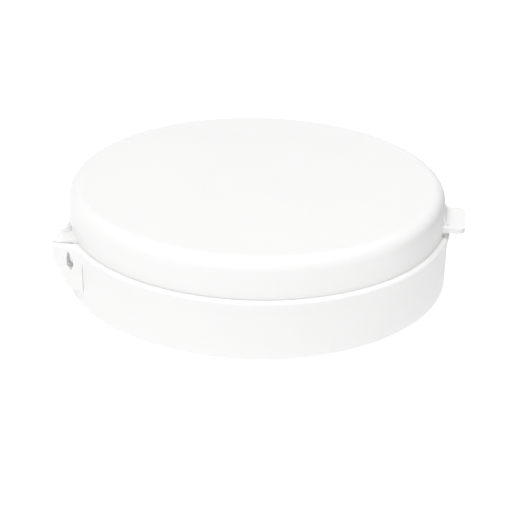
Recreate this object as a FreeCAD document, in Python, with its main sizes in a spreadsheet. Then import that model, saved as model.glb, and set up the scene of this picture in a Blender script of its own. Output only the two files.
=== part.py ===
"""A pocket pill crusher: a round hinged case with a ridged anvil in its base and a ridged
crusher plate in its lid.

Frame: +Z up, origin at the centre of the underside, front (thumb tab) towards -Y, hinge at +Y
with its axis along X. Millimetres.
"""

import FreeCAD, Part
import os

import Sketcher

SIZES = {
    # case
    "case_radius": (40.0, "base at its rim band"),
    "wall_radius": (39.65, "base wall below the rim band"),
    "band_drop": (3.6, "height of the rim band"),
    "rim_height": (12.0, "ledge that the lid comes down to"),
    "stand_off": (0.05, "non-slip pad stands this far below the base"),
    "inner_radius": (36.1, "inside of the base and of its spigot"),
    "spigot_radius": (37.0, "outside of the spigot that the lid slips over"),
    "spigot_height": (2.5, "spigot above the ledge"),
    "snap_bead": (0.3, "bead of the spigot, proud of it"),
    "floor_under": (1.0, "underside of the base's floor"),
    "floor_top": (2.6, "top of the base's floor"),
    "core_inner": (37.4, "hollow under the wall, inner side"),
    "core_outer": (38.4, "hollow under the wall, outer side"),
    "core_top": (9.8, "top of the hollow under the wall"),
    "core_sweep": (260.0, "arc of the hollow, which stops short of the hinge"),
    "rim_round": (0.4, "rounding of the ledge's outer edge"),
    "foot_round": (0.15, "rounding of the base's lower edge"),
    # non-slip pad
    "pad_radius": (33.0, "non-slip pad"),
    "pad_recess": (33.3, "recess that takes the pad"),
    # hinge
    "hinge_offset": (36.3, "hinge axis behind the centre"),
    "hinge_height": (10.9, "hinge axis above the underside"),
    "barrel_radius": (1.1, "barrel of a lid arm"),
    "pin_radius": (0.6, "hinge pin"),
    "pin_play": (0.06, "radial running clearance of a barrel on its pin"),
    "cheek_in_start": (14.6, "inner cheek, side towards the middle"),
    "cheek_in_end": (16.0, "inner cheek, side towards the arm"),
    "cheek_out_start": (21.4, "outer cheek, side towards the arm"),
    "cheek_out_end": (23.4, "outer cheek, side away from the arm"),
    "cheek_out_root": (25.2, "outer cheek where it leaves the wall"),
    "cheek_bottom": (3.4, "lower end of the outer cheek"),
    "cheek_edge": (38.0, "outer edge of the inner cheek"),
    "cheek_edge_far": (37.6, "outer edge of the outer cheek"),
    "cheek_root": (33.2, "cheeks start inside the wall here"),
    "pin_cover": (1.2, "depth of the pin's hole in the outer cheek"),
    "window_start": (32.8, "slot beside the wall, inner side"),
    "window_width": (1.5, "width of the slot"),
    "window_bottom": (7.3, "lowest point of the slot"),
    "window_rise": (4.1, "height of the slot"),
    "mid_flat": (37.2, "flat of the wall between the two stations"),
    "station_floor": (34.0, "recess of the wall at the lid's arms"),
    "station_bottom": (6.6, "lower end of that recess"),
    "flange_top": (3.2, "round lower flange below the hinge recesses"),
    "undercut_half": (19.8, "undercut of the wall below the hinge, half its width"),
    "undercut_top": (8.3, "upper end of the undercut"),
    "recess_reach": (44.0, "recesses are cut out to here"),
    # lid
    "lid_gap": (0.05, "lid above the ledge"),
    "lid_top": (19.86, "top of the lid"),
    "lid_foot_radius": (38.8, "skirt at its lower edge"),
    "lid_head_radius": (38.4, "skirt at the top"),
    "lid_thickness": (1.5, "top of the lid"),
    "skirt_thickness": (1.2, "skirt of the lid"),
    "lid_round": (2.5, "rounding of the lid's upper edge"),
    "lid_inner_round": (1.2, "rounding inside the lid"),
    "press_ring_outer": (31.0, "ring under the lid that faces the seal"),
    "press_ring_inner": (29.9, "its inner side"),
    "press_ring_bottom": (13.3, "its lower edge"),
    "line_radius": (34.6, "fine circle on the lid's top"),
    "line_width": (0.3, "width of that circle"),
    "line_depth": (0.03, "depth of that circle"),
    "notch_half": (16.15, "skirt notch over the hinge, half its width"),
    "notch_mid": (14.3, "shallow middle part of the notch, half its width"),
    "notch_rise": (1.15, "skirt notch above the lid's lower edge, at the inner cheeks"),
    "notch_mid_rise": (0.55, "skirt notch above the lid's lower edge, in the middle"),
    "notch_start": (28.0, "the notch takes the skirt behind here"),
    "arm_play": (0.2, "side play of a lid arm between its cheeks"),
    "arm_root": (31.8, "lid arm starts inside the skirt here"),
    "arm_under": (12.07, "underside of the lid arm above the ledge"),
    "arm_top": (12.95, "top of the lid arm at its root"),
    "arm_clear_inner": (32.0, "space for the spigot behind the skirt, inner side"),
    "arm_clear_outer": (37.5, "space for the spigot behind the skirt, outer side"),
    # thumb tab
    "tab_width": (10.9, "thumb tab"),
    "tab_reach": (42.8, "outer end of the tab"),
    "tab_top": (14.35, "top of the tab"),
    "tab_thickness": (1.0, "thickness of the tab"),
    "tab_root": (38.0, "tab starts inside the skirt here"),
    "tab_gusset": (1.3, "fillets above and below the tab"),
    "tab_corner": (1.3, "corners of the tab"),
    # crushing parts
    "cup_outer": (31.0, "powder cup"),
    "cup_wall": (1.4, "wall of the powder cup"),
    "cup_floor": (1.6, "floor of the powder cup"),
    "cup_rim": (12.0, "rim of the powder cup"),
    "cup_round": (0.8, "rounding inside the cup"),
    "seal_rise": (1.0, "seal ring above the cup's rim"),
    "plate_radius": (27.0, "anvil and crusher plates"),
    "anvil_thickness": (2.8, "anvil below its ridges"),
    "ridge_rise": (0.8, "height of the crushing ridges"),
    "ridge_start": (8.0, "first ridge of the anvil"),
    "ridge_pitch": (2.6, "from one ridge to the next"),
    "tip_gap": (0.8, "between the two sets of ridges when shut"),
    "crusher_thickness": (2.8, "crusher plate above its ridges"),
    "slot_width": (1.2, "radial slots across the ridges"),
    "slot_start": (9.0, "radial slots start here"),
    "slot_reach": (28.0, "radial slots end here"),
    "carrier_radius": (26.0, "carrier that holds the crusher plate"),
    "carrier_flange": (1.2, "flange of the carrier"),
    "carrier_wall_outer": (23.5, "standing wall of the carrier"),
    "carrier_wall_inner": (22.0, "its inner side"),
    # screws
    "screw_circle": (4.6, "the plates' screws lie on this radius"),
    "screw_head": (1.9, "screw head radius"),
    "screw_head_depth": (1.1, "screw head"),
    "screw_shank": (0.9, "screw shank radius"),
    "screw_hole": (1.0, "screw hole radius"),
    "screw_drive": (0.5, "depth of the cross slot"),
    "screw_slot": (0.45, "width of the cross slot"),
    "anvil_screw_length": (3.6, "shank of an anvil screw"),
    "crusher_screw_length": (3.4, "shank of a crusher screw"),
}
RIDGES = 7
SLOTS = 12

doc = FreeCAD.newDocument("pill_crusher")
sheet = doc.addObject("Spreadsheet::Sheet", "Sizes")
for row, (alias, (value, meaning)) in enumerate(SIZES.items(), 1):
    sheet.set(f"A{row}", meaning)
    sheet.set(f"B{row}", str(value))
    sheet.setAlias(f"B{row}", alias)
doc.recompute()


class Length:
    """A length that carries its present value and the sheet expression that drives it."""

    def __init__(self, value, text):
        self.value = value
        self.text = text

    def __add__(self, other):
        other = as_length(other)
        return Length(self.value + other.value, f"({self.text} + {other.text})")

    def __sub__(self, other):
        other = as_length(other)
        return Length(self.value - other.value, f"({self.text} - {other.text})")

    def __rmul__(self, factor):
        return Length(self.value * factor, f"({factor} * {self.text})")

    def __neg__(self):
        return Length(-self.value, f"(-1 * {self.text})")


def as_length(number):
    return number if isinstance(number, Length) else Length(float(number), str(float(number)))


def size(alias):
    return Length(SIZES[alias][0], f"Sizes.{alias}")


def new_body(label):
    body = doc.addObject("PartDesign::Body", label)
    body.Label = label
    return body


def plane(body, role):
    return next(item for item in body.Origin.OriginFeatures if item.Role == role)


def new_sketch(body, name, role, offset=None):
    """A sketch on one of the body's origin planes, moved along the plane's normal by offset."""
    sketch = body.newObject("Sketcher::SketchObject", name)
    sketch.AttachmentSupport = (plane(body, role), "")
    sketch.MapMode = "FlatFace"
    if offset is not None:
        sketch.setExpression("AttachmentOffset.Base.z", offset.text)
    return sketch


def pin_point(sketch, edge, kind, axis, distance):
    """Hold the start of an edge at a driven distance from the origin, or on the axis if zero."""
    if abs(distance.value) < 1e-9:
        sketch.addConstraint(Sketcher.Constraint("PointOnObject", edge, 1, axis))
        return
    held = sketch.addConstraint(Sketcher.Constraint(kind, -1, 1, edge, 1, distance.value))
    sketch.setExpression(f"Constraints[{held}]", distance.text)


def draw(sketch, outline):
    """A closed outline of straight edges whose corners are driven by the sheet."""
    corners = [(as_length(x), as_length(y)) for x, y in outline]
    first = sketch.GeometryCount
    count = len(corners)
    for index, (x, y) in enumerate(corners):
        next_x, next_y = corners[(index + 1) % count]
        start = FreeCAD.Vector(x.value, y.value, 0)
        end = FreeCAD.Vector(next_x.value, next_y.value, 0)
        sketch.addGeometry(Part.LineSegment(start, end))
    for index in range(count):
        follower = first + (index + 1) % count
        sketch.addConstraint(Sketcher.Constraint("Coincident", first + index, 2, follower, 1))
    for index, (x, y) in enumerate(corners):
        pin_point(sketch, first + index, "DistanceX", -2, x)
        pin_point(sketch, first + index, "DistanceY", -1, y)


def finish_feature(body, feature):
    body.Tip = feature
    doc.recompute()
    return feature


def revolve(body, name, outline, kind="PartDesign::Revolution", role="XZ_Plane", sweep=None):
    """Turn an outline of (radius, height) corners round the Z axis."""
    sketch = new_sketch(body, f"{name}_outline", role)
    draw(sketch, outline)
    doc.recompute()
    turned = body.newObject(kind, name)
    turned.Profile = (sketch, [""])
    turned.ReferenceAxis = (sketch, ["V_Axis"])
    if sweep is None:
        turned.Angle = 360.0
    else:
        turned.setExpression("Angle", sweep.text)
    return finish_feature(body, turned)


def extrude(body, name, role, outlines, offset, length, cut=False, backwards=False):
    """Pad or pocket some outlines that lie on an origin plane moved by offset."""
    sketch = new_sketch(body, f"{name}_outline", role, offset)
    for outline in outlines:
        draw(sketch, outline)
    doc.recompute()
    feature = body.newObject("PartDesign::Pocket" if cut else "PartDesign::Pad", name)
    feature.Profile = (sketch, [""])
    feature.setExpression("Length", length.text)
    feature.Reversed = backwards
    return finish_feature(body, feature)


def bore(body, name, radius, length, place, along_x=False, add=False):
    """A round hole, or a round boss, that starts at place and runs along +Z or +X."""
    kind = "PartDesign::AdditiveCylinder" if add else "PartDesign::SubtractiveCylinder"
    drilled = body.newObject(kind, name)
    drilled.setExpression("Radius", radius.text)
    drilled.setExpression("Height", length.text)
    if along_x:
        drilled.Placement.Rotation = FreeCAD.Rotation(FreeCAD.Vector(0, 1, 0), 90)
    for axis, distance in zip("xyz", place):
        drilled.setExpression(f"Placement.Base.{axis}", as_length(distance).text)
    return finish_feature(body, drilled)


def round_edges(body, name, radius, chosen, kind="PartDesign::Fillet"):
    """Fillet or chamfer every edge of the body's tip that the function chosen accepts."""
    base = body.Tip
    edges = base.Shape.Edges
    names = [f"Edge{index}" for index, edge in enumerate(edges, 1) if chosen(edge)]
    if not names:
        raise RuntimeError(f"{name} found no edge")
    rounded = body.newObject(kind, name)
    rounded.Base = (base, names)
    rounded.setExpression("Radius" if kind.endswith("Fillet") else "Size", radius.text)
    return finish_feature(body, rounded)


def is_ring(edge, radius, height):
    """True for a circle, or an arc, round the Z axis with this radius and height."""
    curve = edge.Curve
    if not isinstance(curve, Part.Circle):
        return False
    centre = curve.Center
    on_axis = abs(centre.x) < 1e-4 and abs(centre.y) < 1e-4
    return on_axis and abs(curve.Radius - radius.value) < 1e-3 and abs(centre.z - height.value) < 1e-3


def is_upright(edge, reach, offset):
    """True for a straight vertical edge at |x| = reach and y = offset."""
    ends = [vertex.Point for vertex in edge.Vertexes]
    if len(ends) != 2 or not isinstance(edge.Curve, Part.Line):
        return False
    return all(abs(abs(end.x) - reach) < 1e-3 and abs(end.y - offset) < 1e-3 for end in ends)


def both_sides(outline):
    """The outline and its mirror image across the YZ plane."""
    mirrored = [(-as_length(x), y) for x, y in reversed(outline)]
    return [outline, mirrored]


def rectangle(low_x, high_x, low_y, high_y):
    return [(low_x, low_y), (high_x, low_y), (high_x, high_y), (low_x, high_y)]


# Base shell: floor, double wall, ledge and spigot, cut back at the hinge.
def make_base_shell():
    body = new_body("base_shell")
    stand_off = size("stand_off")
    rim = size("rim_height")
    band_drop = size("band_drop")
    bead_foot = rim + 1.0
    bead_peak = rim + 1.4
    bead_head = rim + 1.8
    revolve(body, "base_turned", [
        (0, size("floor_under")),
        (size("pad_recess"), size("floor_under")),
        (size("pad_recess"), stand_off),
        (size("wall_radius"), stand_off),
        (size("wall_radius"), rim - band_drop),
        (size("case_radius") - 0.25, rim - 0.7 * band_drop),
        (size("case_radius") - 0.1, rim - 0.4 * band_drop),
        (size("case_radius"), rim - 0.15 * band_drop),
        (size("case_radius"), rim),
        (size("spigot_radius"), rim),
        (size("spigot_radius"), bead_foot),
        (size("spigot_radius") + size("snap_bead"), bead_peak),
        (size("spigot_radius"), bead_head),
        (size("spigot_radius"), rim + size("spigot_height")),
        (size("inner_radius"), rim + size("spigot_height")),
        (size("inner_radius"), size("floor_top")),
        (0, size("floor_top")),
    ])
    round_edges(body, "rim_rounding", size("rim_round"),
                lambda edge: is_ring(edge, size("case_radius"), rim))
    round_edges(body, "foot_rounding", size("foot_round"),
                lambda edge: is_ring(edge, size("wall_radius"), stand_off))
    hollow = revolve(body, "wall_hollow", [
        (-size("core_inner"), 0),
        (-size("core_outer"), 0),
        (-size("core_outer"), size("core_top")),
        (-size("core_inner"), size("core_top")),
    ], kind="PartDesign::Groove", role="YZ_Plane", sweep=size("core_sweep"))
    hollow.Midplane = True
    doc.recompute()
    cut_recesses(body)
    return body


def cut_recesses(body):
    """Room for the lid's arms and skirt to swing, and the undercut below the hinge."""
    spigot_top = size("rim_height") + size("spigot_height")
    reach = size("recess_reach")
    mid = rectangle(-size("cheek_in_start"), size("cheek_in_start"), size("mid_flat"), reach)
    extrude(body, "mid_recess", "XY_Plane", [mid], size("flange_top"),
            spigot_top - size("flange_top"), cut=True, backwards=True)
    station = rectangle(size("cheek_in_start") - 0.01, size("cheek_out_start") + 0.6,
                        size("station_floor"), reach)
    extrude(body, "station_recess", "XY_Plane", both_sides(station), size("station_bottom"),
            spigot_top - size("station_bottom"), cut=True, backwards=True)
    half = size("undercut_half")
    undercut = [
        (half, reach),
        (-half, reach),
        (-half, size("mid_flat") - 4.9),
        (-size("cheek_in_start"), size("mid_flat") - 2.45),
        (-0.4 * half, size("mid_flat") - 0.4),
        (0.4 * half, size("mid_flat") - 0.4),
        (size("cheek_in_start"), size("mid_flat") - 2.45),
        (half, size("mid_flat") - 4.9),
    ]
    extrude(body, "undercut", "XY_Plane", [undercut], size("flange_top"),
            size("undercut_top") - size("flange_top"), cut=True, backwards=True)


def add_hinge_brackets(body):
    """Two cheeks at each station, the slot beside the wall and the holes for the pins."""
    rim = size("rim_height")
    bottom = size("cheek_bottom")
    edge = size("cheek_edge_far")
    inner = rectangle(size("cheek_in_start"), size("cheek_in_end"),
                      size("cheek_root"), size("cheek_edge"))
    extrude(body, "inner_cheeks", "XY_Plane", both_sides(inner), size("undercut_top") + 0.1,
            rim - size("undercut_top") - 0.1)
    outer = [
        (size("cheek_out_start"), size("cheek_root") - 2.4),
        (size("cheek_out_root"), size("cheek_root") - 2.4),
        (size("cheek_out_end") + 0.3, size("cheek_root") + 0.6),
        (size("cheek_out_end"), edge - 1.0),
        (size("cheek_out_end") - 0.35, edge - 0.35),
        (size("cheek_out_start"), edge),
    ]
    extrude(body, "outer_cheeks", "XY_Plane", both_sides(outer), bottom, rim - bottom)
    taper = [
        (edge - 0.1, rim + 0.1),
        (edge - 0.2, rim - 1.0),
        (edge - 0.7, rim - 2.4),
        (edge - 1.25, rim - 3.8),
        (edge - 2.1, rim - 5.0),
        (edge - 3.2, bottom - 0.1),
        (size("recess_reach"), bottom - 0.1),
        (size("recess_reach"), rim + 0.1),
    ]
    width = size("cheek_out_root") + 0.5 - size("cheek_out_start")
    side_cut(body, "cheek_taper", taper, size("cheek_out_start") - 0.3, width)
    low = size("window_bottom")
    left = size("window_start")
    right = left + size("window_width")
    slot = [
        (right - 0.85, low),
        (right, low + 1.0),
        (right, low + size("window_rise") - 1.3),
        (right - 0.3, low + size("window_rise")),
        (left + 0.15, low + 0.6 * size("window_rise")),
        (left, low + 0.35 * size("window_rise")),
    ]
    side_cut(body, "window", slot, size("cheek_out_start") - 1.4, width + 1.8)
    depth = size("cheek_out_start") + size("pin_cover") - size("cheek_in_start")
    for name, start in (("right", size("cheek_in_start")), ("left", -size("cheek_in_start") - depth)):
        bore(body, f"pin_hole_{name}", size("pin_radius"), depth,
             (start, size("hinge_offset"), size("hinge_height")), along_x=True)


def side_cut(body, name, outline, start, width):
    """Cut a (y, z) outline through both outer cheeks, from |x| = start outwards."""
    extrude(body, f"{name}_right", "YZ_Plane", [outline], start, width, cut=True, backwards=True)
    extrude(body, f"{name}_left", "YZ_Plane", [outline], -start, width, cut=True)


# Lid shell: a shallow cap with a press ring, two hinge arms and the thumb tab.
def make_lid_shell():
    body = new_body("lid_shell")
    foot = size("rim_height") + size("lid_gap")
    under = size("lid_top") - size("lid_thickness")
    inner_head = size("lid_head_radius") - size("skirt_thickness")
    revolve(body, "lid_turned", [
        (0, under),
        (size("press_ring_inner"), under),
        (size("press_ring_inner"), size("press_ring_bottom")),
        (size("press_ring_outer"), size("press_ring_bottom")),
        (size("press_ring_outer"), under),
        (inner_head, under),
        (size("lid_foot_radius") - size("skirt_thickness"), foot),
        (size("lid_foot_radius"), foot),
        (size("lid_head_radius"), size("lid_top")),
        (0, size("lid_top")),
    ])
    round_edges(body, "lid_rounding", size("lid_round"),
                lambda edge: is_ring(edge, size("lid_head_radius"), size("lid_top")))
    round_edges(body, "lid_inner_rounding", size("lid_inner_round"),
                lambda edge: is_ring(edge, inner_head, under))
    add_thumb_tab(body)
    half_line = 0.5 * size("line_width")
    revolve(body, "top_line", [
        (size("line_radius") - half_line, size("lid_top") + 0.01),
        (size("line_radius"), size("lid_top") - size("line_depth")),
        (size("line_radius") + half_line, size("lid_top") + 0.01),
    ], kind="PartDesign::Groove")
    mid = rectangle(-size("notch_half"), size("notch_half"),
                    size("notch_start"), size("recess_reach"))
    extrude(body, "skirt_notch", "XY_Plane", [mid], foot - 0.1, size("notch_mid_rise") + 0.1,
            cut=True, backwards=True)
    side = rectangle(size("notch_mid"), size("notch_half"),
                     size("notch_start"), size("recess_reach"))
    extrude(body, "skirt_notch_sides", "XY_Plane", both_sides(side), foot + 0.1,
            size("notch_rise") - 0.1, cut=True, backwards=True)
    add_lid_arms(body)
    return body


def add_lid_arms(body):
    """An arm at each station: a plate that leaves the skirt and ends in a barrel."""
    radius = size("barrel_radius")
    axis_y = size("hinge_offset")
    axis_z = size("hinge_height")
    start = size("cheek_in_end") + size("arm_play")
    length = size("cheek_out_start") - size("arm_play") - start
    floor = size("station_floor")
    side = [
        (size("arm_root"), size("arm_under")),
        (floor + 0.15, size("arm_under")),
        (floor + 0.3, size("arm_under") - 0.6),
        (axis_y - radius, axis_z - 0.6),
        (axis_y, axis_z - radius + 0.05),
        (axis_y + radius - 0.1, axis_z - 0.6),
        (axis_y + radius + 0.35, axis_z + 0.3),
        (axis_y + radius + 0.45, axis_z + radius),
        (axis_y + radius + 0.32, axis_z + radius + 0.42),
        (axis_y + radius - 0.05, axis_z + radius + 0.35),
        (axis_y + radius - 0.3, axis_z + radius + 0.05),
        (axis_y - 0.2, axis_z + radius + 0.05),
        (floor + 0.6, size("arm_top") - 0.35),
        (size("arm_root"), size("arm_top")),
    ]
    extrude(body, "arm_right", "YZ_Plane", [side], start, length)
    extrude(body, "arm_left", "YZ_Plane", [side], -start - length, length)
    for name, begin in (("right", start), ("left", -start - length)):
        bore(body, f"barrel_{name}", radius, length, (begin, axis_y, axis_z), along_x=True, add=True)
        bore(body, f"barrel_hole_{name}", size("pin_radius") + size("pin_play"), length,
             (begin, axis_y, axis_z), along_x=True)
    low = size("rim_height")
    revolve(body, "spigot_room", [
        (size("arm_clear_inner"), low),
        (size("arm_clear_outer"), low),
        (size("arm_clear_outer"), size("arm_top") + 0.1),
        (size("arm_clear_inner"), size("arm_top") + 0.1),
    ], kind="PartDesign::Groove")


def add_thumb_tab(body):
    """The tab that a thumb lifts, with round corners and a fillet above and below it."""
    half = 0.5 * size("tab_width")
    reach = size("tab_reach")
    corner = size("tab_corner")
    under = size("tab_top") - size("tab_thickness")
    plate = [
        (-half, -size("tab_root")),
        (-half, corner - reach),
        (corner - half, corner - reach),
        (corner - half, -reach),
        (half - corner, -reach),
        (half - corner, corner - reach),
        (half, corner - reach),
        (half, -size("tab_root")),
    ]
    extrude(body, "tab", "XY_Plane", [plate], under, size("tab_thickness"))
    for name, x in (("left", corner - half), ("right", half - corner)):
        bore(body, f"tab_corner_{name}", corner, size("tab_thickness"),
             (x, corner - reach, under), add=True)
    gusset = size("tab_gusset")
    foot = size("lid_foot_radius")
    side = [
        (-size("tab_root"), under),
        (-foot - gusset, under),
        (-foot - 0.3 * gusset, under - 0.4 * gusset),
        (-foot + 0.05, under - gusset),
        (-size("tab_root"), under - gusset),
        (-size("tab_root"), size("tab_top") + gusset),
        (-foot + 0.15, size("tab_top") + gusset),
        (-foot - 0.25 * gusset, size("tab_top") + 0.35 * gusset),
        (-foot - 0.9 * gusset, size("tab_top")),
    ]
    extrude(body, "tab_gusset", "YZ_Plane", [side], corner - half, size("tab_width") - 2.0 * corner)


def make_cup():
    """The loose powder cup, a flat-bottomed dish on the base's floor."""
    body = new_body("powder_cup")
    inner = size("cup_outer") - size("cup_wall")
    floor = size("floor_top") + size("cup_floor")
    revolve(body, "cup_turned", [
        (0, size("floor_top")),
        (size("cup_outer"), size("floor_top")),
        (size("cup_outer"), size("cup_rim")),
        (inner, size("cup_rim")),
        (inner, floor),
        (0, floor),
    ])
    round_edges(body, "cup_rounding", size("cup_round"), lambda edge: is_ring(edge, inner, floor))
    round_edges(body, "cup_foot_rounding", size("cup_round"),
                lambda edge: is_ring(edge, size("cup_outer"), size("floor_top")))
    return body


def ridge_outline(face, tip, first, count, back):
    """A plate in section: a flat back at one height and ridges between face and tip."""
    pitch = size("ridge_pitch")
    outline = [(0, back), (0, face)]
    for index in range(count):
        middle = first + index * pitch
        outline.append((middle - 0.42 * pitch, face))
        outline.append((middle - 0.08 * pitch, tip))
        outline.append((middle + 0.08 * pitch, tip))
        outline.append((middle + 0.42 * pitch, face))
    outline.append((size("plate_radius"), face))
    outline.append((size("plate_radius"), back))
    return outline


def cut_slots(body, name, low, rise):
    """Radial slots that break the ridges into teeth."""
    half = 0.5 * size("slot_width")
    slot = rectangle(size("slot_start"), size("slot_reach"), -half, half)
    first = extrude(body, f"{name}_slot", "XY_Plane", [slot], low, rise, cut=True, backwards=True)
    pattern = body.newObject("PartDesign::PolarPattern", f"{name}_slots")
    pattern.Originals = [first]
    pattern.Axis = (plane(body, "Z_Axis"), [""])
    pattern.Angle = 360.0
    pattern.Occurrences = SLOTS
    finish_feature(body, pattern)


def screw_places():
    """The screws' places round the middle of a plate, as factors of the screw circle."""
    return [(0.0, 1.0), (-0.8660254, -0.5), (0.8660254, -0.5)]


def drill_screw_holes(body, name, low, length, seat, seat_depth):
    """A clearance hole at every screw place, with a flat-bottomed seat for its head."""
    circle = size("screw_circle")
    for index, (across, along) in enumerate(screw_places()):
        spot = (across * circle, along * circle)
        bore(body, f"{name}_hole_{index}", size("screw_hole"), length, (*spot, low))
        bore(body, f"{name}_seat_{index}", size("screw_head") + 0.1, seat_depth, (*spot, seat))


def make_anvil():
    body = new_body("anvil_plate")
    back = size("floor_top") + size("cup_floor")
    face = back + size("anvil_thickness")
    tip = face + size("ridge_rise")
    revolve(body, "anvil_turned", ridge_outline(face, tip, size("ridge_start"), RIDGES, back))
    cut_slots(body, "anvil", face, size("ridge_rise"))
    drill_screw_holes(body, "anvil", back, size("anvil_thickness") + 0.1,
                      face - size("screw_head_depth"), size("screw_head_depth") + 0.1)
    return body


def crusher_levels():
    """Heights of the crusher plate's ridge tips, of its face and of its back."""
    anvil_tip = (size("floor_top") + size("cup_floor") + size("anvil_thickness")
                 + size("ridge_rise"))
    tip = anvil_tip + size("tip_gap")
    face = tip + size("ridge_rise")
    return tip, face, face + size("crusher_thickness")


def make_crusher():
    body = new_body("crusher_plate")
    tip, face, back = crusher_levels()
    first = size("ridge_start") + 0.5 * size("ridge_pitch")
    revolve(body, "crusher_turned", ridge_outline(face, tip, first, RIDGES - 1, back))
    cut_slots(body, "crusher", tip, size("ridge_rise"))
    drill_screw_holes(body, "crusher", face, size("crusher_thickness"),
                      face - 0.1, size("screw_head_depth") + 0.1)
    return body


def make_carrier():
    """The pot-shaped carrier between the lid and the crusher plate."""
    body = new_body("crusher_carrier")
    low = crusher_levels()[2]
    flange = low + size("carrier_flange")
    top = size("lid_top") - size("lid_thickness")
    revolve(body, "carrier_turned", [
        (0, low),
        (size("carrier_radius"), low),
        (size("carrier_radius"), flange),
        (size("carrier_wall_outer"), flange),
        (size("carrier_wall_outer"), top),
        (size("carrier_wall_inner"), top),
        (size("carrier_wall_inner"), flange),
        (0, flange),
    ])
    circle = size("screw_circle")
    for index, (across, along) in enumerate(screw_places()):
        spot = (across * circle, along * circle, flange - 0.1)
        boss = bore(body, f"boss_{index}", 2.0 * size("screw_hole"), size("screw_shank") + 1.5,
                    spot, add=True)
        boss.Label = f"screw_boss_{index}"
    for index, (across, along) in enumerate(screw_places()):
        bore(body, f"boss_hole_{index}", size("screw_shank"), size("crusher_screw_length"),
             (across * circle, along * circle, low - 0.6))
    return body


def make_screws(label, seat, direction, shank_length):
    """Countersunk-seat screws of one plate, joined to one node as separate solids."""
    shapes = []
    circle = size("screw_circle")
    for index, (across, along) in enumerate(screw_places()):
        head = doc.addObject("Part::Cylinder", f"{label}_head_{index}")
        shank = doc.addObject("Part::Cylinder", f"{label}_shank_{index}")
        cross_a = doc.addObject("Part::Box", f"{label}_cross_a_{index}")
        cross_b = doc.addObject("Part::Box", f"{label}_cross_b_{index}")
        x = across * circle
        y = along * circle
        head_depth = size("screw_head_depth")
        head_low = seat if direction > 0 else seat - head_depth
        shank_low = seat - shank_length if direction > 0 else seat
        drive_low = seat + head_depth - size("screw_drive") if direction > 0 else head_low
        place(head, x, y, head_low)
        head.setExpression("Radius", size("screw_head").text)
        head.setExpression("Height", head_depth.text)
        place(shank, x, y, shank_low)
        shank.setExpression("Radius", size("screw_shank").text)
        shank.setExpression("Height", shank_length.text)
        reach = 0.65 * size("screw_head")
        half = 0.5 * size("screw_slot")
        for box, half_x, half_y in ((cross_a, reach, half), (cross_b, half, reach)):
            box.setExpression("Length", (2.0 * half_x).text)
            box.setExpression("Width", (2.0 * half_y).text)
            box.setExpression("Height", size("screw_drive").text)
            place(box, x - half_x, y - half_y, drive_low)
        whole = doc.addObject("Part::MultiFuse", f"{label}_blank_{index}")
        whole.Shapes = [head, shank]
        cross = doc.addObject("Part::MultiFuse", f"{label}_cross_{index}")
        cross.Shapes = [cross_a, cross_b]
        screw = doc.addObject("Part::Cut", f"{label}_{index}")
        screw.Base = whole
        screw.Tool = cross
        shapes.append(screw)
    group = doc.addObject("Part::Compound", label)
    group.Links = shapes
    group.Label = label
    doc.recompute()
    return group


def place(item, x, y, z):
    """Bind a primitive's position to the sheet."""
    for axis, distance in zip("xyz", (x, y, z)):
        item.setExpression(f"Placement.Base.{axis}", as_length(distance).text)


def make_pad():
    body = new_body("non_slip_pad")
    revolve(body, "pad_turned", [
        (0, 0),
        (size("pad_radius"), 0),
        (size("pad_radius"), size("floor_under")),
        (0, size("floor_under")),
    ])
    return body


def make_seal():
    """The soft ring that closes the powder cup against the lid's press ring."""
    body = new_body("seal_ring")
    inner = size("cup_outer") - size("cup_wall")
    top = size("cup_rim") + size("seal_rise")
    revolve(body, "seal_turned", [
        (inner, size("cup_rim")),
        (size("cup_outer"), size("cup_rim")),
        (size("cup_outer"), top),
        (inner, top),
    ])
    round_edges(body, "seal_rounding", 0.35 * size("seal_rise"),
                lambda edge: is_ring(edge, inner, top) or is_ring(edge, size("cup_outer"), top))
    return body


def make_pin(label, side):
    """A hinge pin through one lid arm, held in its two cheeks."""
    pin = doc.addObject("Part::Cylinder", label)
    pin.Label = label
    length = size("cheek_out_start") + size("pin_cover") - size("cheek_in_start")
    start = size("cheek_in_start") if side > 0 else -size("cheek_in_start") - length
    pin.setExpression("Radius", size("pin_radius").text)
    pin.setExpression("Height", length.text)
    pin.Placement.Rotation = FreeCAD.Rotation(FreeCAD.Vector(0, 1, 0), 90)
    place(pin, start, size("hinge_offset"), size("hinge_height"))
    doc.recompute()
    return pin


def check_document(parts):
    """Stop on any failed object, and on a sub-part that is empty or not a valid solid."""
    failed = [item.Name for item in doc.Objects
              if "Invalid" in item.State or "Error" in item.State]
    if failed:
        raise RuntimeError(f"failed objects: {failed}")
    for part in parts:
        shape = part.Shape
        if shape.isNull() or not shape.isValid() or not shape.Solids:
            raise RuntimeError(f"{part.Label} is not a valid solid")
        print(f"{part.Label}: {len(shape.Solids)} solid, {shape.Volume:.1f} mm3")


base = make_base_shell()
add_hinge_brackets(base)
crusher_face = crusher_levels()[1]
anvil_face = size("floor_top") + size("cup_floor") + size("anvil_thickness")
sub_parts = [
    base,
    make_pad(),
    make_cup(),
    make_seal(),
    make_anvil(),
    make_screws("anvil_screws", anvil_face - size("screw_head_depth"), 1,
                size("anvil_screw_length")),
    make_pin("hinge_pin_left", -1),
    make_pin("hinge_pin_right", 1),
    make_lid_shell(),
    make_carrier(),
    make_crusher(),
    make_screws("crusher_screws", crusher_face + size("screw_head_depth"), -1,
                size("crusher_screw_length")),
]
doc.recompute()
check_document(sub_parts)
os.makedirs("parts", exist_ok=True)
for part in sub_parts:
    part.Shape.exportStep(f"parts/{part.Label}.step")
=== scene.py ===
# %% [markdown]
# # A pocket pill crusher in white polypropylene
# The case is a shallow round dish with a hinged lid. Its shapes come from the CAD model, which is
# the fixed frame here. Blender gives each moulding its softened edges and its plastic, builds the
# pieces that need a finer form, and sets up a bright studio.

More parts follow.
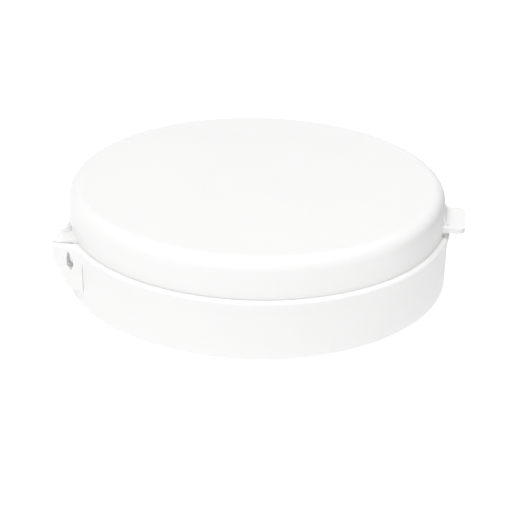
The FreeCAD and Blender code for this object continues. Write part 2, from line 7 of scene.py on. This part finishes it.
# %% Load the frame
import math

import bmesh
import bpy
from mathutils import Matrix, Vector


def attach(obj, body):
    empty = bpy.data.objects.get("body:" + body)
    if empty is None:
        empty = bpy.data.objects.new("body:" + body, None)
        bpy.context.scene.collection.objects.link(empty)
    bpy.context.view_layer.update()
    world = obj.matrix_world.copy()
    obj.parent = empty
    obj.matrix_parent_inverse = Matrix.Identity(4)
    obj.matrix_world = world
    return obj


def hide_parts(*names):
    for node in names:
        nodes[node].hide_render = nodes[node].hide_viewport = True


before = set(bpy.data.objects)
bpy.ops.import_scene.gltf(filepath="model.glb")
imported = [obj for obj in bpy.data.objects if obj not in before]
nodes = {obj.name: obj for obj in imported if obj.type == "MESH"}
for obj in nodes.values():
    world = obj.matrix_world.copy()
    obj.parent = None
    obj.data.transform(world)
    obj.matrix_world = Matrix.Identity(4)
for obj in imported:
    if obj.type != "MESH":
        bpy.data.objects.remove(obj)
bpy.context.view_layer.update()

MM = 0.001

# %% [markdown]
# ## Shared steps
# Everything in the scene is an object linked to the same collection, and every finish, from the
# floor's to the plastic's, starts as one shader with a colour and a roughness.

# %% Shared steps


def add_object(name, data):
    """Make an object that shows some data, and put it in the scene."""
    made = bpy.data.objects.new(name, data)
    bpy.context.scene.collection.objects.link(made)
    return made


def new_material(name, colour, roughness):
    """A plain material, and its shader for the caller to build on."""
    material = bpy.data.materials.new(name)
    material.use_nodes = True
    shader = material.node_tree.nodes["Principled BSDF"]
    shader.inputs["Base Color"].default_value = (*colour, 1.0)
    shader.inputs["Roughness"].default_value = roughness
    return material, shader


# %% [markdown]
# ## Camera
# A product picture of a flat case is taken from a little above, with a long lens so that the round
# outline stays calm. The camera here looks at the case from the side of the hinge line, so the
# hinge is at the left and the thumb tab at the right. It is rolled by about a degree, as a
# hand-held camera is, and shifted slightly so that the case sits where it should in the frame.

# %% Camera
CAMERA_DISTANCE = 274.5 * MM
CAMERA_ELEVATION = math.radians(26.30)
CAMERA_TURN = math.radians(8.0)
CAMERA_ROLL = math.radians(1.14)
CAMERA_LENS = 90.76
CAMERA_SENSOR = 36.0
CAMERA_SHIFT = (-0.0002, 0.0147)
AIM_HEIGHT = 0.3 * MM


def make_camera():
    """A long lens aimed at the middle of the base, turned about its own view line."""
    data = bpy.data.cameras.new("product_camera")
    data.lens = CAMERA_LENS
    data.sensor_width = CAMERA_SENSOR
    data.shift_x, data.shift_y = CAMERA_SHIFT
    data.clip_start = 0.01
    data.clip_end = 10.0
    camera = add_object("product_camera", data)
    side = Vector((-math.cos(CAMERA_TURN), -math.sin(CAMERA_TURN), 0.0))
    back = side * math.cos(CAMERA_ELEVATION) + Vector((0, 0, math.sin(CAMERA_ELEVATION)))
    right = Vector((math.sin(CAMERA_TURN), -math.cos(CAMERA_TURN), 0.0))
    up = back.cross(right)
    turned = Matrix((right, up, back)).transposed() @ Matrix.Rotation(CAMERA_ROLL, 3, "Z")
    camera.matrix_world = Matrix.Translation(
        Vector((0, 0, AIM_HEIGHT)) + back * CAMERA_DISTANCE) @ turned.to_4x4()
    bpy.context.scene.camera = camera
    return camera


camera = make_camera()
print("camera stands at", [round(value, 4) for value in camera.matrix_world.translation])

# %% [markdown]
# ## Studio
# White plastic on a white sweep needs light from everywhere. A pale dome fills the shadows, a
# broad softbox from above models the wall, a second one lifts the top, and a long narrow strip
# above the camera draws the bright line on the lid's rounded edge. A weak fill opens the hinge
# side. A low black card beside the thumb tab darkens that side of the case, and the camera doesn't
# see it. The floor glows enough to read as white. The colours are shown without a film curve, so
# that white stays white.

# %% Studio
DOME_STRENGTH = 0.53
FLOOR_REACH = 3.0
FLOOR_GLOW = 0.93
CASE_MIDDLE = (0, 0, 0.01)
RIM_MIDDLE = (0, 0, 0.015)

# Each softbox: its name, where it stands, where it looks, its width and height, and its watts.
SOFTBOXES = [
    ("key_softbox", (-0.5, 0.2, 1.38), CASE_MIDDLE, 0.9, 0.9, 9.8),
    ("top_softbox", (0.0, -0.5, 1.5), CASE_MIDDLE, 0.8, 0.8, 4.6),
    ("edge_strip", (-0.86, -0.02, 0.83), RIM_MIDDLE, 0.9, 0.12, 0.12),
    ("left_fill", (-0.85, 0.55, 0.25), CASE_MIDDLE, 0.5, 0.3, 0.5),
]

bpy.context.scene.view_settings.view_transform = "Standard"
bpy.context.scene.view_settings.look = "None"


def make_world(strength):
    """An even white dome."""
    world = bpy.data.worlds.new("studio_dome")
    world.use_nodes = True
    background = world.node_tree.nodes["Background"]
    background.inputs["Color"].default_value = (1.0, 1.0, 1.0, 1.0)
    background.inputs["Strength"].default_value = strength
    bpy.context.scene.world = world


def make_softbox(name, place, aim, width, height, power):
    """A rectangular area light that stands at place and looks at aim."""
    data = bpy.data.lights.new(name, "AREA")
    data.shape = "RECTANGLE"
    data.size = width
    data.size_y = height
    data.energy = power
    light = add_object(name, data)
    direction = Vector(aim) - Vector(place)
    light.matrix_world = (Matrix.Translation(Vector(place))
                          @ direction.to_track_quat("-Z", "Y").to_matrix().to_4x4())


def stage_sheet(name, corners, material, seen_by_camera=True):
    """A flat sheet with four corners that belongs to the studio and not to the case."""
    mesh = bpy.data.meshes.new(name)
    shape = bmesh.new()
    shape.faces.new([shape.verts.new(corner) for corner in corners])
    shape.to_mesh(mesh)
    shape.free()
    mesh.materials.append(material)
    sheet = add_object(name, mesh)
    sheet.visible_camera = seen_by_camera


def make_floor():
    """A wide floor that glows, so that it stays white under the case."""
    material, shader = new_material("pale_floor", (0.2, 0.2, 0.2), 0.9)
    shader.inputs["Specular IOR Level"].default_value = 0.0
    shader.inputs["Emission Color"].default_value = (1.0, 1.0, 1.0, 1.0)
    shader.inputs["Emission Strength"].default_value = FLOOR_GLOW
    reach = FLOOR_REACH
    corners = [(-reach, -reach, 0), (reach, -reach, 0), (reach, reach, 0), (-reach, reach, 0)]
    stage_sheet("floor", corners, material)


def make_flag(name, middle, length, height):
    """An upright black card that takes light off the side of the case that faces it."""
    material, _ = new_material("black_flag", (0.01, 0.01, 0.01), 1.0)
    x, y, z = middle
    along, up = 0.5 * length, 0.5 * height
    corners = [(x - along, y, z - up), (x + along, y, z - up),
               (x + along, y, z + up), (x - along, y, z + up)]
    stage_sheet(name, corners, material, seen_by_camera=False)


make_world(DOME_STRENGTH)
for softbox in SOFTBOXES:
    make_softbox(*softbox)
make_floor()
make_flag("right_flag", middle=(0.03, -0.068, 0.012), length=0.10, height=0.022)

# %% [markdown]
# ## Moulded plastics
# Every plastic here shows the same three things at different strengths: a fine grain from the
# mould's eroded surface, slow waves where the melt cooled unevenly, and a slight drift of tone. A
# procedural noise in Object coordinates gives all three, and stays put when a piece moves.

# %% Moulded plastics
GRAIN_DEPTH = 0.05 * MM
WAVE_DEPTH = 0.4 * MM
GLOW_DEPTH = 1.2 * MM


def add_noise(tree, vector, scale, detail=2.0, distortion=0.0):
    """A noise read at the points that a vector socket gives."""
    noise = tree.nodes.new("ShaderNodeTexNoise")
    noise.inputs["Scale"].default_value = scale
    noise.inputs["Detail"].default_value = detail
    noise.inputs["Distortion"].default_value = distortion
    tree.links.new(vector, noise.inputs["Vector"])
    return noise.outputs["Fac"]


def add_bump(tree, height, strength, distance, below=None):
    """A bump from a height socket, laid over the normal of another bump if there is one."""
    bump = tree.nodes.new("ShaderNodeBump")
    bump.inputs["Strength"].default_value = strength
    bump.inputs["Distance"].default_value = distance
    tree.links.new(height, bump.inputs["Height"])
    if below is not None:
        tree.links.new(below, bump.inputs["Normal"])
    return bump.outputs["Normal"]


def vary_roughness(tree, shader, noise, lowest, highest):
    """Let a noise move the roughness of a shader between two values."""
    spread = tree.nodes.new("ShaderNodeMapRange")
    spread.inputs["To Min"].default_value = lowest
    spread.inputs["To Max"].default_value = highest
    tree.links.new(noise, spread.inputs["Value"])
    tree.links.new(spread.outputs["Result"], shader.inputs["Roughness"])


def moulded_plastic(name, colour, roughness, grain, wave, drift, glow=0.0):
    """Plastic with a fine grain, slow waves and a drift of tone between two close colours."""
    material, shader = new_material(name, colour, roughness)
    tree = material.node_tree
    place = tree.nodes.new("ShaderNodeTexCoord").outputs["Object"]
    ramp = tree.nodes.new("ShaderNodeValToRGB")
    darker, lighter = ramp.color_ramp.elements
    darker.position = 0.35
    lighter.position = 0.68
    darker.color = (*[value * (1.0 - drift) for value in colour], 1.0)
    lighter.color = (*colour, 1.0)
    tone = add_noise(tree, place, scale=60.0, detail=3.0, distortion=0.6)
    tree.links.new(tone, ramp.inputs["Fac"])
    tree.links.new(ramp.outputs["Color"], shader.inputs["Base Color"])
    sheen = add_noise(tree, place, scale=240.0, detail=4.0)
    vary_roughness(tree, shader, sheen, roughness - 0.07, roughness + 0.07)
    slow = add_noise(tree, place, scale=90.0, distortion=0.4)
    fine = add_noise(tree, place, scale=2600.0)
    waves = add_bump(tree, slow, wave, WAVE_DEPTH)
    grains = add_bump(tree, fine, grain, GRAIN_DEPTH, below=waves)
    tree.links.new(grains, shader.inputs["Normal"])
    if glow > 0.0:
        shader.inputs["Subsurface Weight"].default_value = glow
        shader.inputs["Subsurface Radius"].default_value = (1.0, 1.0, 1.0)
        shader.inputs["Subsurface Scale"].default_value = GLOW_DEPTH
    return material


case_white = moulded_plastic("case_polypropylene", (0.92, 0.92, 0.915), roughness=0.38,
                             grain=0.35, wave=0.08, drift=0.012, glow=0.15)
cup_white = moulded_plastic("cup_hard_plastic", (0.86, 0.87, 0.87), roughness=0.22,
                            grain=0.1, wave=0.05, drift=0.015)
tooth_grey = moulded_plastic("tooth_hard_plastic", (0.74, 0.77, 0.79), roughness=0.34,
                             grain=0.3, wave=0.05, drift=0.03)
pad_rubber = moulded_plastic("pad_elastomer", (0.62, 0.62, 0.61), roughness=0.75,
                             grain=0.9, wave=0.1, drift=0.05)
seal_silicone = moulded_plastic("seal_silicone_rubber", (0.8, 0.83, 0.85), roughness=0.45,
                                grain=0.15, wave=0.05, drift=0.02, glow=0.3)
print("plastics", [plastic.name for plastic in
                   (case_white, cup_white, tooth_grey, pad_rubber, seal_silicone)])

# %% [markdown]
# ## Turned steel
# The screws and the pins are turned on a lathe. Fine rings round each one would be too small to
# see, so a stretched noise gives the drawn look, and a second noise varies the polish.

# %% Turned steel
DRAWN_DEPTH = 0.03 * MM


def turned_steel(name, colour, roughness):
    """Bright metal with a fine drawn grain and an uneven polish."""
    material, shader = new_material(name, colour, roughness)
    tree = material.node_tree
    shader.inputs["Metallic"].default_value = 1.0
    place = tree.nodes.new("ShaderNodeTexCoord").outputs["Object"]
    polish = add_noise(tree, place, scale=700.0, detail=3.0)
    vary_roughness(tree, shader, polish, roughness - 0.1, roughness + 0.12)
    stretch = tree.nodes.new("ShaderNodeMapping")
    stretch.inputs["Scale"].default_value = (1.0, 1.0, 14.0)
    tree.links.new(place, stretch.inputs["Vector"])
    grain = add_noise(tree, stretch.outputs["Vector"], scale=900.0)
    drawn = add_bump(tree, grain, 0.2, DRAWN_DEPTH)
    tree.links.new(drawn, shader.inputs["Normal"])
    return material


steel = turned_steel("turned_stainless_steel", (0.62, 0.62, 0.63), roughness=0.32)
print("metal", steel.name)

# %% [markdown]
# ## One finish for each node
# The CAD nodes and the finer pieces that stand for them share their finishes, so this one list
# serves both.

# %% One finish for each node
FINISHES = {
    "base_shell": case_white,
    "lid_shell": case_white,
    "non_slip_pad": pad_rubber,
    "powder_cup": cup_white,
    "seal_ring": seal_silicone,
    "anvil_plate": tooth_grey,
    "crusher_plate": tooth_grey,
    "crusher_carrier": cup_white,
    "anvil_screws": steel,
    "crusher_screws": steel,
    "hinge_pin_left": steel,
    "hinge_pin_right": steel,
}


def give_finish(piece, material):
    """Put one material on every slot of a piece."""
    if not piece.material_slots:
        piece.data.materials.append(material)
    for slot in piece.material_slots:
        slot.material = material


for node, material in FINISHES.items():
    give_finish(nodes[node], material)
print("finishes on", len(FINISHES), "nodes")

# %% [markdown]
# ## Softened mouldings
# No moulding has a knife edge. Each CAD piece with edges in view is copied, its doubled points
# are merged, flat faces are joined, and a narrow bevel runs along every sharp edge. The copy
# stands for the CAD piece and moves with the same body.

# %% Softened mouldings
MERGE_DISTANCE = 0.002 * MM
FLAT_WITHIN = 0.3
SHARP_BEYOND = 32.0
BEVEL_SEGMENTS = 2
FLAT_FACE_WEIGHT = 90


def smooth_by_angle(mesh, degrees):
    """Mark the edges steeper than an angle as sharp, so that the faces between shade smoothly."""
    shape = bmesh.new()
    shape.from_mesh(mesh)
    limit = math.radians(degrees)
    for edge in shape.edges:
        steep = len(edge.link_faces) == 2 and edge.calc_face_angle(0.0) > limit
        edge.smooth = not steep
    shape.to_mesh(mesh)
    shape.free()


def softened(node, body, width, material):
    """A copy of a CAD node with merged points and a small bevel on its sharp edges."""
    mesh = nodes[node].data.copy()
    mesh.name = f"{node}_soft"
    mesh.materials.clear()
    shape = bmesh.new()
    shape.from_mesh(mesh)
    bmesh.ops.remove_doubles(shape, verts=shape.verts, dist=MERGE_DISTANCE)
    bmesh.ops.dissolve_limit(shape, angle_limit=math.radians(FLAT_WITHIN), verts=shape.verts,
                             edges=shape.edges, use_dissolve_boundaries=False)
    bmesh.ops.recalc_face_normals(shape, faces=shape.faces)
    for face in shape.faces:
        face.smooth = True
    shape.to_mesh(mesh)
    shape.free()
    mesh.materials.append(material)
    piece = add_object(f"{node}_soft", mesh)
    bevel = piece.modifiers.new("soft_edges", "BEVEL")
    bevel.width = width
    bevel.segments = BEVEL_SEGMENTS
    bevel.limit_method = "ANGLE"
    bevel.angle_limit = math.radians(SHARP_BEYOND)
    smooth_by_angle(mesh, SHARP_BEYOND)
    weighted = piece.modifiers.new("flat_faces_lead", "WEIGHTED_NORMAL")
    weighted.keep_sharp = True
    weighted.weight = FLAT_FACE_WEIGHT
    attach(piece, body)
    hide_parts(node)
    print(node, "softened by", width / MM, "mm:", len(mesh.vertices), "points")


# Each piece: its node, the body it rides on, its bevel in millimetres and its material slot.
SOFT_PIECES = [
    ("base_shell", "base", 0.06, "case_white"),
    ("lid_shell", "lid", 0.06, "case_white"),
    ("anvil_plate", "base", 0.12, "tooth_plastic"),
    ("crusher_plate", "lid", 0.12, "tooth_plastic"),
    ("crusher_carrier", "lid", 0.15, "cup_plastic"),
    ("anvil_screws", "base", 0.08, "steel"),
    ("crusher_screws", "lid", 0.08, "steel"),
    ("hinge_pin_left", "base", 0.1, "steel"),
    ("hinge_pin_right", "base", 0.1, "steel"),
]
for node, body, width, slot in SOFT_PIECES:
    softened(node, body, width * MM, FINISHES[node])

# %% [markdown]
# ## Turned parts
# The cup, the seal and the non-slip pad are round, so each is one closed section turned about the
# middle. The cup has a rounded rim, the seal two low lips, and the pad a set of fine grip rings.
# The sections are in millimetres, as (radius, height).

# %% Turned parts
TURNS = 256
TURNED_SHARP_BEYOND = 40.0


def ring_of(shape, radius, height):
    """The points that one point of a section leaves as it turns, or one point on the axis."""
    if radius == 0:
        return [shape.verts.new((0, 0, height * MM))]
    angles = [2 * math.pi * step / TURNS for step in range(TURNS)]
    return [shape.verts.new((radius * MM * math.cos(angle), radius * MM * math.sin(angle),
                             height * MM)) for angle in angles]


def turned(name, section, material, body, slot, *replaced):
    """Turn a closed section of (radius, height) points about Z."""
    mesh = bpy.data.meshes.new(name)
    shape = bmesh.new()
    rings = [ring_of(shape, radius, height) for radius, height in section]
    for low, high in zip(rings, rings[1:] + rings[:1]):
        if len(low) == 1 and len(high) == 1:
            continue
        for step in range(TURNS):
            after = (step + 1) % TURNS
            corners = ([low[step], low[after]] if len(low) > 1 else [low[0]])
            corners += ([high[after], high[step]] if len(high) > 1 else [high[0]])
            shape.faces.new(corners)
    bmesh.ops.recalc_face_normals(shape, faces=shape.faces)
    for face in shape.faces:
        face.smooth = True
    shape.to_mesh(mesh)
    shape.free()
    smooth_by_angle(mesh, TURNED_SHARP_BEYOND)
    mesh.materials.append(material)
    piece = add_object(name, mesh)
    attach(piece, body)
    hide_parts(*replaced)
    print(name, "has", len(mesh.polygons), "faces")


def arc(centre, radius, start, end, steps):
    """Points of an arc in a section, from one angle to another in degrees."""
    points = []
    for step in range(steps + 1):
        angle = math.radians(start + (end - start) * step / steps)
        points.append((centre[0] + radius * math.cos(angle), centre[1] + radius * math.sin(angle)))
    return points


# %% Powder cup
CUP_OUTSIDE, CUP_INSIDE = 31.0, 29.6
CUP_FOOT, CUP_FLOOR, CUP_RIM = 2.6, 4.2, 12.0
FOOT_ROUND, RIM_ROUND, FLOOR_ROUND = 0.8, 0.4, 1.0

cup_section = [(0, CUP_FOOT)]
cup_section += arc((CUP_OUTSIDE - FOOT_ROUND, CUP_FOOT + FOOT_ROUND), FOOT_ROUND, -90, 0, 8)
cup_section += arc((CUP_OUTSIDE - RIM_ROUND, CUP_RIM - RIM_ROUND), RIM_ROUND, 0, 90, 6)
cup_section += arc((CUP_INSIDE + RIM_ROUND, CUP_RIM - RIM_ROUND), RIM_ROUND, 90, 180, 6)
cup_section += arc((CUP_INSIDE - FLOOR_ROUND, CUP_FLOOR + FLOOR_ROUND), FLOOR_ROUND, 0, -90, 10)
cup_section += [(0, CUP_FLOOR)]
turned("powder_cup_fine", cup_section, FINISHES["powder_cup"], "base", "cup_plastic", "powder_cup")

# %% Seal ring
LIP_RADIUS = 0.32
LIP_HEIGHT = CUP_RIM + 0.68
VALLEY_RADIUS = 0.08
VALLEY_HEIGHT = CUP_RIM + 0.66

seal_section = [(CUP_INSIDE, CUP_RIM), (CUP_OUTSIDE, CUP_RIM)]
seal_section += arc((CUP_OUTSIDE - LIP_RADIUS, LIP_HEIGHT), LIP_RADIUS, 0, 150, 8)
seal_section += arc((0.5 * (CUP_INSIDE + CUP_OUTSIDE), VALLEY_HEIGHT), VALLEY_RADIUS, -30, -150, 4)
seal_section += arc((CUP_INSIDE + LIP_RADIUS, LIP_HEIGHT), LIP_RADIUS, 30, 180, 8)
turned("seal_ring_fine", seal_section, FINISHES["seal_ring"], "base", "seal_silicone", "seal_ring")

# %% Non-slip pad
PAD_RADIUS, PAD_TOP = 33.0, 1.0
PAD_ROUND = 0.15
GROOVE_DEPTH = 0.18
FIRST_RING, LAST_RING, RING_PITCH = 3.0, 30.0, 1.5
BORDER_START, BORDER_FOOT = 31.4, 31.6


def grip_rings(first, last, pitch, depth):
    """The underside of the pad, from the middle outwards, with raised rings that grip."""
    points = [(0, depth)]
    middle = first
    while middle <= last:
        points += [(middle - 0.32 * pitch, depth), (middle - 0.2 * pitch, 0.0)]
        points += [(middle + 0.2 * pitch, 0.0), (middle + 0.32 * pitch, depth)]
        middle += pitch
    return points


pad_section = grip_rings(FIRST_RING, LAST_RING, RING_PITCH, GROOVE_DEPTH)
pad_section += [(BORDER_START, GROOVE_DEPTH), (BORDER_FOOT, 0.0)]
pad_section += arc((PAD_RADIUS - PAD_ROUND, PAD_ROUND), PAD_ROUND, -90, 0, 3)
pad_section += [(PAD_RADIUS, PAD_TOP), (0, PAD_TOP)]
turned("non_slip_pad_fine", pad_section, FINISHES["non_slip_pad"], "base", "pad_rubber",
       "non_slip_pad")
